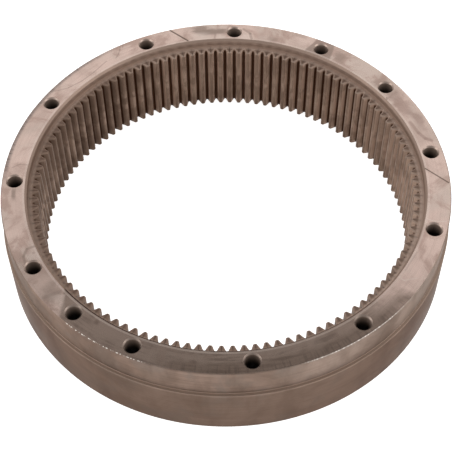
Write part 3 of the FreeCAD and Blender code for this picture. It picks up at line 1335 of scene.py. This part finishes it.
BAND = Finish(
    name="turned_band",
    clean=(0.29, 0.208, 0.166),
    stained=(0.225, 0.159, 0.124),
    dark=BAND_DARK,
    metallic=0.6,
    roughness=(0.36, 0.46),
    tool_across=Way.HEIGHT,
    bump=0.2,
    specular=0.15,
    edge_tint=(0.3, 0.24, 0.21),
    layers=(
        Layer("grey clouds", (0.205, 0.165, 0.14), 0.6, (Clouds(22.0, 0.45, 0.65, 9.0),)),
        # Painted light: the upper band lighter on its lit stretch
        Layer("painted light stretch", (0.49, 0.4, 0.345), 0.32, LIT_STRETCH),
        Layer("oil runs", BAND_DARK, 0.34, (Streaks(Way.ARC, Way.HEIGHT, 34.0, 10.0, 0.46, 0.66),)),
        Layer("lower band", (0.095, 0.06, 0.043), 0.5, (Reach(Way.HEIGHT, 0.073, 0.068),)),
        Layer("blotches", (0.105, 0.07, 0.052), 0.45, (Clouds(9.0, 0.5, 0.66, 14.0),)),
        # Painted light: the relief groove's inside lighter, against the shade that falls in it
        Layer("painted light in the relief groove", (0.55, 0.42, 0.34), 0.8, LIT_RELIEF),
        # Painted highlight: the ledge's top lighter, a light line along the step
        Layer("step", (0.36, 0.265, 0.21), 1.0, LIT_STEP),
        # Knocked edge and painted highlights on the pilot's top chamfer
        Layer("left knocks and glints", GLINT_STEEL, 0.8, (*KNOCKED_GLINT_LEFT, BROKEN)),
        Layer("right knocks and glints", GLINT_STEEL, 1.0, (*KNOCKED_GLINT_RIGHT, Level(0.25, 0.55, (BROKEN,)))),
    ),
)

# The teeth
TOOTH_DARK = (0.11, 0.065, 0.043)
WORN_AND_LIT_STEEL = (0.62, 0.445, 0.345)
# How much the flanks are lightened: painted light, far more on the far side
WORN_AND_LIT_SHARE = Level(0.14, 0.66, (Reach(Way.AWAY, 1.65, 2.15),))
MIDDLE = (Reach(Way.HEIGHT, 0.02, 0.045), Reach(Way.HEIGHT, 0.085, 0.06))
ENDS_HIGHLIGHT_SHARE = Level(0.8, -0.5, (Reach(Way.ANGLE, -1.95, -1.75), Reach(Way.ANGLE, 0.5, 0.2)))
TEETH = Finish(
    name="oily_teeth",
    clean=(0.245, 0.165, 0.121),
    stained=(0.198, 0.13, 0.094),
    dark=TOOTH_DARK,
    metallic=0.12,
    roughness=(0.38, 0.52),
    tool_across=Way.ARC,
    tool_along=Way.HEIGHT,
    marks_fineness=900.0,
    specular=0.12,
    edge_tint=(0.85, 0.6, 0.48),
    layers=(
        # Painted shade: the teeth darker on the near side and towards the sides
        Layer("shaded near side", TOOTH_DARK, 0.5, (Reach(Way.AWAY, 2.15, 1.65),)),
        # Flanks lighter: partly wear from running contact, partly painted light
        Layer("worn and lit flanks", WORN_AND_LIT_STEEL, 1.0, (Reach(Way.RADIUS, 0.2284, 0.2292), WORN_AND_LIT_SHARE)),
        # Painted highlight: soft light streaks at mid height of the teeth
        Layer("middle highlight", WORN_AND_LIT_STEEL, 0.35, (*MIDDLE, Clouds(45.0, 0.42, 0.6, 4.0))),
        Layer("oil clouds", TOOTH_DARK, 0.35, (Clouds(26.0, 0.48, 0.62, 7.0),)),
        Layer("specks", TOOTH_DARK, 0.6, (Clouds(400.0, 0.5, 0.62, 2.0), Reach(Way.HEIGHT, 0.018, 0.008))),
        # Dirt and painted shade in the roots between the teeth
        Layer(
            "root dirt and shade",
            (0.075, 0.03, 0.014),
            1.0,
            (Reach(Way.RADIUS, 0.2325, 0.2343), Reach(Way.HEIGHT, 0.1036, 0.0985)),
        ),
        # Tooth ends' chamfers lighter: deburred steel and a painted highlight, weaker on one side
        Layer("rubbed and lit ends", (0.33, 0.245, 0.2), 1.0, (Reach(Way.HEIGHT, 0.1022, 0.103), ENDS_HIGHLIGHT_SHARE)),
    ),
)

# The bolt holes
SINKS = Either(Reach(Way.HEIGHT, 0.1131, 0.1134), Reach(Way.HEIGHT, 0.0019, 0.0016))
# Where the hole walls get painted shade, deep inside
HOLE_SHADE = (Reach(Way.HEIGHT, 0.112, 0.094), Reach(Way.HEIGHT, 0.004, 0.016))
HOLES = Finish(
    name="drilled_wall",
    clean=(0.25, 0.185, 0.15),
    stained=(0.2, 0.148, 0.118),
    dark=(0.14, 0.1, 0.08),
    metallic=0.9,
    metal=SINKS,
    roughness=(0.32, 0.4),
    tool_across=Way.RADIUS,
    specular=0.25,
    layers=(
        # Painted shade: the hole walls almost black deep inside
        Layer("depth", (0.012, 0.008, 0.006), 0.97, HOLE_SHADE),
        Layer("sinks", Fade((0.38, 0.29, 0.245), (0.31, 0.242, 0.204), Film.OIL), 1.0, (SINKS,)),
    ),
)

# The recesses
PAINTED_LIGHT_STEEL = (0.52, 0.39, 0.32)
MOUTH = Reach(Way.HEIGHT, 0.1119, 0.1127)
THIN_FILM = Fade((0.055, 0.038, 0.03), (0.13, 0.094, 0.074), Reach(Way.ANGLE, 0.75, 1.15))
PAINTED_LIGHT_SHARE = Level(0.85, -0.55, (Reach(Way.ANGLE, -1.4, -1.1), Reach(Way.ANGLE, 0.5, 0.2)))
CORNER = (Reach(Way.HEIGHT, 0.1072, 0.1054), Reach(Way.HEIGHT, 0.1, 0.102))
RECESS = Finish(
    name="recess_wall",
    clean=(0.255, 0.172, 0.13),
    stained=(0.205, 0.137, 0.103),
    dark=(0.13, 0.085, 0.063),
    metallic=0.4,
    roughness=(0.34, 0.46),
    tool_across=Way.HEIGHT,
    specular=0.0,
    edge_tint=(0.3, 0.23, 0.19),
    layers=(
        # Painted highlight: the mouth chamfer lighter, a light lip
        Layer("mouth", (0.36, 0.26, 0.21), 0.8, (MOUTH,)),
        Layer("film on the mouth", THIN_FILM, 0.9, (Film.OIL, MOUTH)),
        # Painted light: the recess floor lighter, less on one side
        Layer("ledge", PAINTED_LIGHT_STEEL, 1.0, (Reach(Way.RADIUS, 0.2411, 0.2408), PAINTED_LIGHT_SHARE)),
        # Painted light: the wall lighter just above the floor, in the corner, less on one side
        Layer("corner", PAINTED_LIGHT_STEEL, 0.7, (*CORNER, PAINTED_LIGHT_SHARE)),
        Layer("tooth ends", (0.2, 0.13, 0.098), 0.85, (Reach(Way.RADIUS, 0.2372, 0.2344),)),
    ),
)

FINISHES = {Zone.FACE: FACE, Zone.BAND: BAND, Zone.BORE: TEETH, Zone.HOLE: HOLES, Zone.RECESS: RECESS}


def grey(tone: float) -> Colour:
    """Grey of one tone."""
    return (tone, tone, tone)


@dataclass(frozen=True)
class Softbox:
    """Soft square lamp that points at the ring; lengths in metres, angles in degrees, watts."""

    name: str
    angle: float
    elevation: float = 35.0
    distance: float = 2.2
    side: float = 1.2
    power: float = 8.0


@dataclass(frozen=True)
class StudioLight:
    """Tones of the world and the floor; spans are sines of elevation or shares of a side."""

    white: float = 0.98
    overhead: float = 0.34
    front: float = 0.3
    overhead_span: tuple[float, float] = (0.79, 0.87)
    overhead_lean: float = 0.06
    front_span: tuple[float, float] = (0.45, 0.85)
    front_height: tuple[float, float] = (0.1, 0.4)
    front_share: float = 0.75
    paper: float = 0.8
    paper_glow: float = 0.9


@dataclass(frozen=True)
class Studio:
    """Camera, floor, lamps and world; lengths in metres, angles in degrees."""

    ring_radius: float = 0.272
    top_height: float = 0.115
    focal_pixels: float = 1172.2
    elevation: float = 52.810
    distance: float = 5.2292
    shift_right: float = 0.00108
    shift_up: float = 0.20964
    roll: float = 0.5059
    azimuth: float = 228.05
    picture: float = 452.0
    sensor: float = 36.0
    clip: tuple[float, float] = (0.01, 50.0)
    floor_reach: float = 6.0
    light: StudioLight = StudioLight()
    softboxes: tuple[Softbox, ...] = (Softbox("left_softbox", 190.0), Softbox("right_softbox", 350.0))

    def camera(self) -> None:
        """Place the camera at the photograph's viewing angle.

        In the picture's frame, whose y axis leads away from the camera, the camera's right, up
        and back axes follow from its elevation. A turn about z brings them into the ring's frame.
        """
        e, a, r = (math.radians(value) for value in (self.elevation, self.azimuth, self.roll))
        right, up = Vector((1.0, 0.0, 0.0)), Vector((0.0, math.sin(e), math.cos(e)))
        back = Vector((0.0, -math.cos(e), math.sin(e)))
        place = (-self.shift_right * right - self.shift_up * up + self.distance * back) * self.ring_radius
        rolled_right = math.cos(r) * right - math.sin(r) * up
        rolled_up = math.sin(r) * right + math.cos(r) * up
        axes = Matrix((rolled_right, rolled_up, back)).transposed()
        turn = Matrix.Rotation(-a, 3, "Z")
        data = bpy.data.cameras.new("camera")
        data.sensor_width = self.sensor
        data.lens = self.focal_pixels * self.sensor / self.picture
        data.clip_start, data.clip_end = self.clip
        camera = add_object("camera", data)
        matrix = (turn @ axes).to_4x4()
        matrix.translation = turn @ place + Vector((0.0, 0.0, self.top_height))
        camera.matrix_world = matrix
        bpy.context.scene.camera = camera

    def add_softbox(self, box: Softbox) -> None:
        """Place a lamp; its angle runs anticlockwise from the picture's right side.

        Args:
            box: The lamp's values.
        """
        data = bpy.data.lights.new(box.name, "AREA")
        data.shape, data.size, data.energy = "SQUARE", box.side, box.power
        lamp = add_object(box.name, data)
        a, e = math.radians(box.angle - self.azimuth), math.radians(box.elevation)
        way = Vector((math.cos(a) * math.cos(e), math.sin(a) * math.cos(e), math.sin(e)))
        lamp.location = way * box.distance + Vector((0.0, 0.0, self.top_height / 2))
        lamp.rotation_mode = "QUATERNION"
        lamp.rotation_quaternion = (-way).to_track_quat("-Z", "Y")
        lamp.visible_camera = False

    def floor(self) -> None:
        """Lay the pale floor: plain white paper that keeps the ring's soft shadow."""
        mesh = bpy.data.meshes.new("floor")
        side = self.floor_reach
        corners = [(-side, -side, 0.0), (side, -side, 0.0), (side, side, 0.0), (-side, side, 0.0)]
        mesh.from_pydata(corners, [], [(0, 1, 2, 3)])
        floor = add_object("floor", mesh)
        material = bpy.data.materials.new("white_paper")
        canvas = empty_canvas(material)
        diffuse = canvas.node("ShaderNodeBsdfDiffuse", {"Color": grey(self.light.paper)})
        inputs = {"Color": grey(1.0), "Strength": self.light.paper_glow}
        glow = canvas.node("ShaderNodeEmission", inputs)
        both = canvas.node("ShaderNodeAddShader", {0: diffuse.outputs[0], 1: glow.outputs[0]})
        path = canvas.node("ShaderNodeLightPath").outputs
        seen = canvas.math("MAXIMUM", path["Is Camera Ray"], path["Is Glossy Ray"])
        seen = canvas.math("MAXIMUM", seen, path["Is Transmission Ray"])
        mix = canvas.node("ShaderNodeMixShader", {0: seen, 1: diffuse.outputs[0], 2: both.outputs[0]})
        canvas.node("ShaderNodeOutputMaterial", {"Surface": mix.outputs[0]})
        floor.data.materials.append(material)

    def world(self) -> None:
        """Light the studio: white behind the ring and up to the lamps' height, dim overhead."""
        light = self.light
        world = bpy.data.worlds.new("studio")
        bpy.context.scene.world = world
        canvas = empty_canvas(world)
        way = canvas.node("ShaderNodeTexCoord").outputs["Generated"]
        parts = canvas.node("ShaderNodeSeparateXYZ", {0: way}).outputs
        height = canvas.more(parts[2], self.way_share(canvas, parts, 180.0), light.overhead_lean)
        dim = canvas.window(height, *light.overhead_span)
        colour = canvas.blend(dim, grey(light.white), grey(light.overhead))
        facing = canvas.window(self.way_share(canvas, parts, 270.0), *light.front_span)
        facing = canvas.both(facing, canvas.window(parts[2], *light.front_height))
        colour = canvas.blend(canvas.both(facing, light.front_share), colour, grey(light.front))
        around = canvas.node("ShaderNodeBackground", {"Color": colour, "Strength": 1.0})
        white = canvas.node("ShaderNodeBackground", {"Color": grey(1.0), "Strength": 1.0})
        seen = canvas.node("ShaderNodeLightPath").outputs["Is Camera Ray"]
        mix = canvas.node("ShaderNodeMixShader", {0: seen, 1: around.outputs[0], 2: white.outputs[0]})
        canvas.node("ShaderNodeOutputWorld", {"Surface": mix.outputs[0]})

    def way_share(self, canvas: Canvas, parts: Parts, angle: float) -> bpy.types.NodeSocket:
        """How much a direction points to one side of the picture, from -1 to 1.

        Args:
            canvas: The world's canvas.
            parts: The direction's three parts.
            angle: The side, in degrees anticlockwise from the picture's right.

        Returns:
            The share's socket.
        """
        turn = math.radians(angle - self.azimuth)
        return canvas.dot(parts, (math.cos(turn), math.sin(turn)))

    def build(self) -> None:
        """Set up the whole studio."""
        self.camera()
        self.floor()
        self.world()
        for box in self.softboxes:
            self.add_softbox(box)
        bpy.context.scene.view_settings.view_transform = "Standard"


def main() -> None:
    """Load the frame, build and dress the ring, and set up the studio."""
    logging.basicConfig(level=logging.INFO, format="%(name)s: %(message)s")
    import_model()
    ring = RingGear().build()
    effects = RingEffects()
    for zone in Zone:
        ring.data.materials.append(FINISHES[zone].make(effects))
    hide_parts(NODE)
    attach(ring, "root")
    Studio().build()
    LOG.info("studio ready")


if __name__ == "__main__":
    main()
